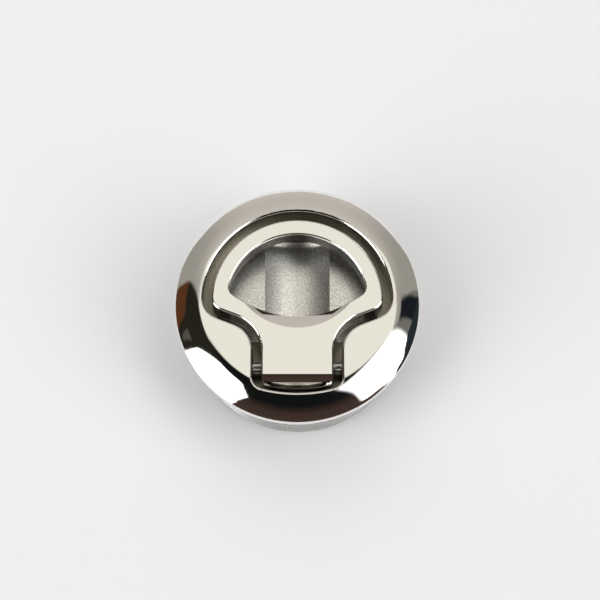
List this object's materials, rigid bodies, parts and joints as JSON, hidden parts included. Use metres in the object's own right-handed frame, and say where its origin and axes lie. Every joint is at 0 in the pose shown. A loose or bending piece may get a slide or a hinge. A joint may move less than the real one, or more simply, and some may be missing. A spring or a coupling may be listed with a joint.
{
  "type": "flush pull latch",
  "caption": "Round flush pull latch: a keyhole-shaped handle lies flush in a finger cup and draws back a slanted slam bolt; a ring nut clamps it in a round panel hole.",
  "frame": {"origin": "on the barrel's axis, in the plane of the flange's underside where it seats on the panel", "axes": "+Z out of the panel towards the hand, +Y from the handle's hinge towards its ring and the bolt's nose, +X to the right seen from the front with +Y up"},
  "size_m": [0.062, 0.065, 0.0305],
  "materials": {
    "polished_steel": "mirror-polished cast stainless steel, sand-cast grain inside the well",
    "plain_steel": "machined or rolled stainless steel",
    "black_rubber": "matte moulded rubber",
    "acetal": "natural acetal, matte"
  },
  "bodies": {
    "housing": {"housing": "polished_steel", "hinge_pin": "plain_steel", "return_spring_left": "plain_steel", "return_spring_right": "plain_steel", "handle_bumper_left": "black_rubber", "handle_bumper_right": "black_rubber", "rocker_pin": "plain_steel", "bolt_liner": "acetal", "bolt_spring": "plain_steel", "spring_guide": "plain_steel", "bolt_bumpers": "black_rubber", "rear_cover": "plain_steel", "cover_gasket": "black_rubber", "cover_screws": "plain_steel", "flange_gasket": "black_rubber", "backing_washer": "plain_steel", "ring_nut": "plain_steel"},
    "handle": {"pull_handle": "polished_steel"},
    "rocker": {"rocker": "plain_steel"},
    "bolt": {"latch_bolt": "plain_steel"}
  },
  "joints": [
    {"name": "handle_hinge", "type": "hinge", "parent": "housing", "child": "handle", "pos_m": [0, -0.0155, -0.0025], "axis": [1, 0, 0], "range_deg": [0, 45], "stiffness_Nm_per_rad": 0.15, "springref_deg": -22.92, "deforming": ["return_spring_left", "return_spring_right"]},
    {"name": "rocker_hinge", "type": "hinge", "parent": "housing", "child": "rocker", "pos_m": [0, -0.0121, -0.014], "axis": [-1, 0, 0], "range_deg": [0, 65.5]},
    {"name": "bolt_slide", "type": "slide", "parent": "housing", "child": "bolt", "axis": [0, -1, 0], "range_m": [0, 0.0076], "deforming": ["bolt_spring"]}
  ],
  "couplings": [
    {"joint": "rocker_hinge", "follows": "handle_hinge", "ratio": 1.4398},
    {"joint": "bolt_slide", "follows": "handle_hinge", "m_per_rad": 0.009551}
  ]
}
